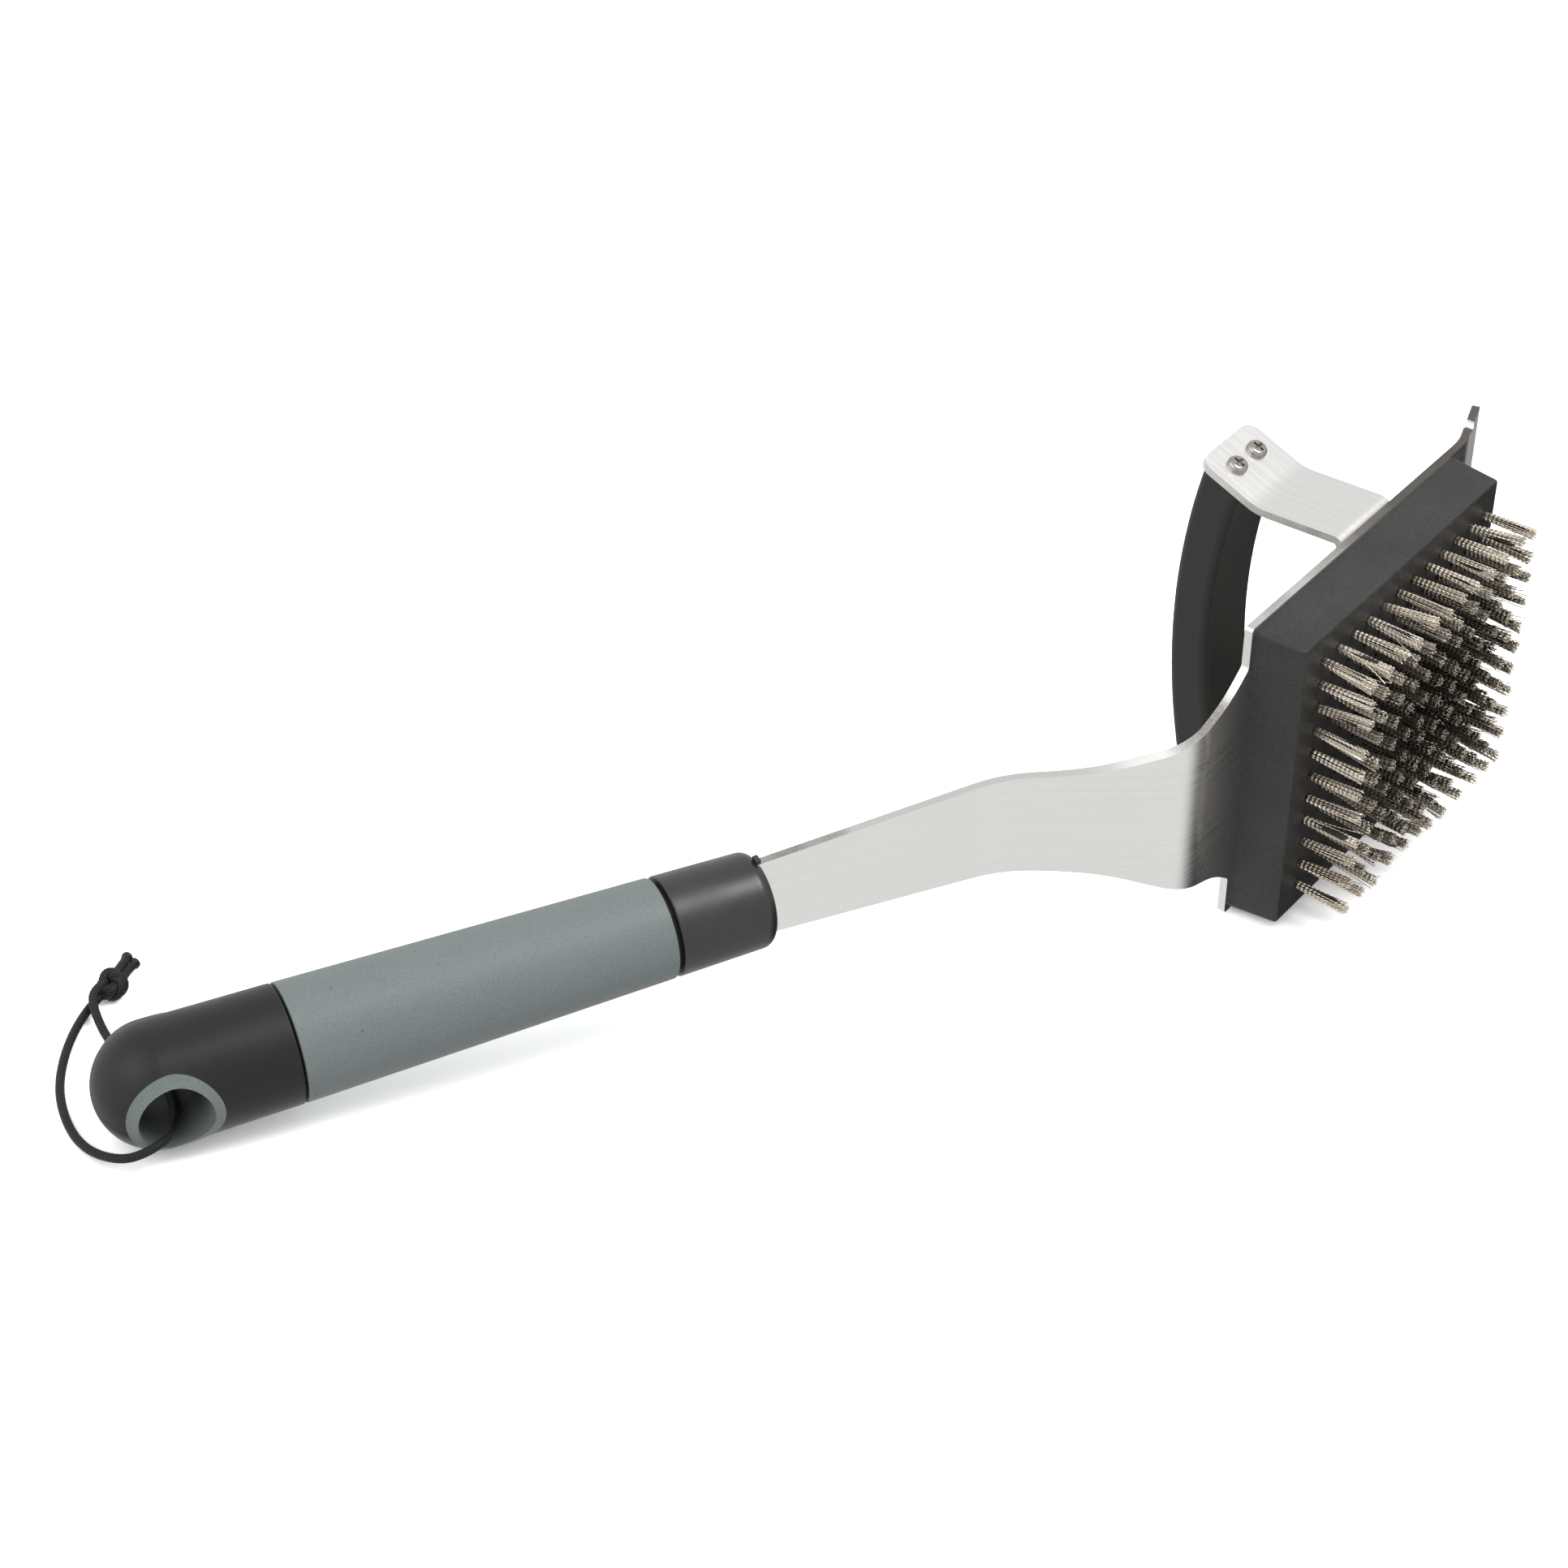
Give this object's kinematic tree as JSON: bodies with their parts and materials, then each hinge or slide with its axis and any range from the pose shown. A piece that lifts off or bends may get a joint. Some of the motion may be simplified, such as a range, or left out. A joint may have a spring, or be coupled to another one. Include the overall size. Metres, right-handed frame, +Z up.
{
  "type": "grill cleaning brush",
  "caption": "Long-handled barbecue brush lying on its side: wire tufts in a wide block on a bent steel neck with an end scraper, a second strap grip behind the head and a cord loop",
  "frame": {"origin": "on the table, under the middle of the brush's bounding box without the lanyard, as the brush lies on its side", "axes": "+X along the handle's axis as seen from above, from the hanging hole to the head; +Z up from the table; +Y to the side that the bristles point away from"},
  "size_m": [0.4507, 0.1107, 0.1177],
  "materials": {
    "black_plastic": "satin",
    "block_plastic": "satin, finely grained",
    "core_plastic": "matte",
    "grey_rubber": "matte, finely speckled",
    "plate_steel": "brushed along the length",
    "pin_steel": "satin",
    "wire_steel": "satin",
    "screw_chrome": "polished",
    "black_cord": "braided"
  },
  "bodies": {
    "root": {"block_screws": "screw_chrome", "bracket_screws": "screw_chrome", "brush_block": "block_plastic", "end_cap": "black_plastic", "front_ferrule": "black_plastic", "grip_bar": "black_plastic", "grip_bracket": "plate_steel", "grip_screws": "screw_chrome", "grip_sleeve": "grey_rubber", "handle_core": "core_plastic", "hang_eyelet": "grey_rubber", "lanyard_cord": "black_cord", "lanyard_knot": "black_cord", "lanyard_tails": "black_cord", "neck_plate": "plate_steel", "tang_pins": "pin_steel", "tuft_anchors": "pin_steel", "tuft_row_01": "wire_steel", "tuft_row_02": "wire_steel", "tuft_row_03": "wire_steel", "tuft_row_04": "wire_steel", "tuft_row_05": "wire_steel", "tuft_row_06": "wire_steel", "tuft_row_07": "wire_steel", "tuft_row_08": "wire_steel", "tuft_row_09": "wire_steel", "tuft_row_10": "wire_steel", "tuft_row_11": "wire_steel"}
  },
  "joints": []
}
